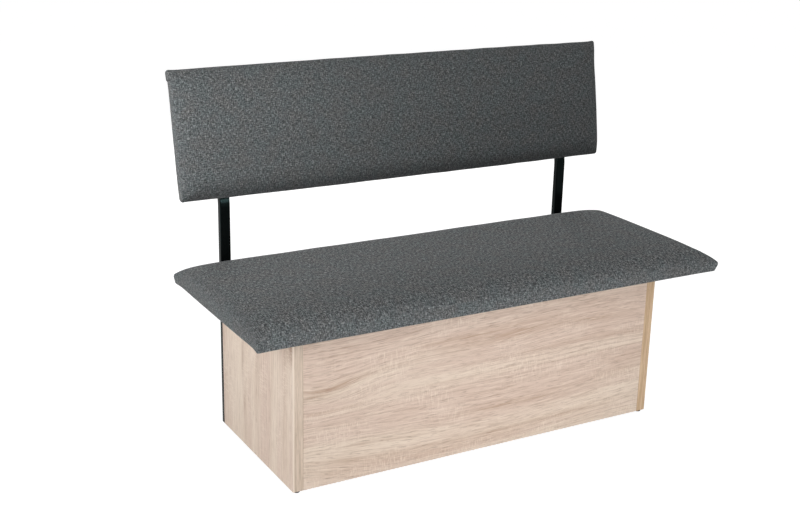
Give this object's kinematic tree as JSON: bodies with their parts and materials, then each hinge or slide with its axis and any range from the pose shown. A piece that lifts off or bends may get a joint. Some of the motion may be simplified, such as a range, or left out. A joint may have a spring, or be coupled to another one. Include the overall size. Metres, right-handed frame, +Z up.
{
  "type": "storage bench",
  "caption": "Storage bench: a laminated board box under a padded lid seat, with a padded backrest on two bent black steel uprights.",
  "frame": {"origin": "middle of the footprint's bounding box, on the floor under the glides", "axes": "+X along the bench, +Y to the back, +Z up"},
  "size_m": [1.199, 0.5435, 0.8654],
  "materials": {
    "laminated_board": "matt laminate with a light oak grain",
    "edge_banding": "satin banding",
    "plain_wood": "planed",
    "plywood": "sanded",
    "woven_cover": "heathered flat weave",
    "dust_cloth": "thin spun cloth",
    "foam": "open-cell foam",
    "black_steel": "satin powder coat",
    "zinc_steel": "zinc plated",
    "black_plastic": "fine matt",
    "pad_rubber": "matt"
  },
  "bodies": {
    "base": {"left_side_panel": "laminated_board", "right_side_panel": "laminated_board", "left_front_edge_band": "edge_banding", "right_front_edge_band": "edge_banding", "front_panel": "laminated_board", "back_panel": "laminated_board", "bottom_panel": "laminated_board", "left_bottom_batten": "plain_wood", "right_bottom_batten": "plain_wood", "batten_screws": "zinc_steel", "cam_locks": "zinc_steel", "cam_bolts": "zinc_steel", "panel_dowels": "plain_wood", "floor_glides": "black_plastic", "glide_nails": "zinc_steel", "lid_pads": "pad_rubber", "left_upright": "black_steel", "right_upright": "black_steel", "upright_end_caps": "black_plastic", "upright_screws": "zinc_steel", "backrest_board": "plywood", "backrest_foam": "foam", "backrest_cover": "woven_cover", "backrest_dust_sheet": "dust_cloth", "backrest_bolts": "zinc_steel", "backrest_tee_nuts": "zinc_steel", "left_hinge_fixed_leaf": "zinc_steel", "right_hinge_fixed_leaf": "zinc_steel", "left_hinge_pin": "zinc_steel", "right_hinge_pin": "zinc_steel", "fixed_leaf_screws": "zinc_steel"},
    "lid": {"seat_board": "plywood", "seat_foam": "foam", "seat_cover": "woven_cover", "seat_dust_sheet": "dust_cloth", "left_hinge_lid_leaf": "zinc_steel", "right_hinge_lid_leaf": "zinc_steel", "lid_leaf_screws": "zinc_steel"}
  },
  "joints": [
    {"name": "lid_hinge", "type": "hinge", "parent": "base", "child": "lid", "pos_m": [0, 0.20914, 0.4116], "axis": [-1, 0, 0], "range_deg": [0, 60]}
  ]
}
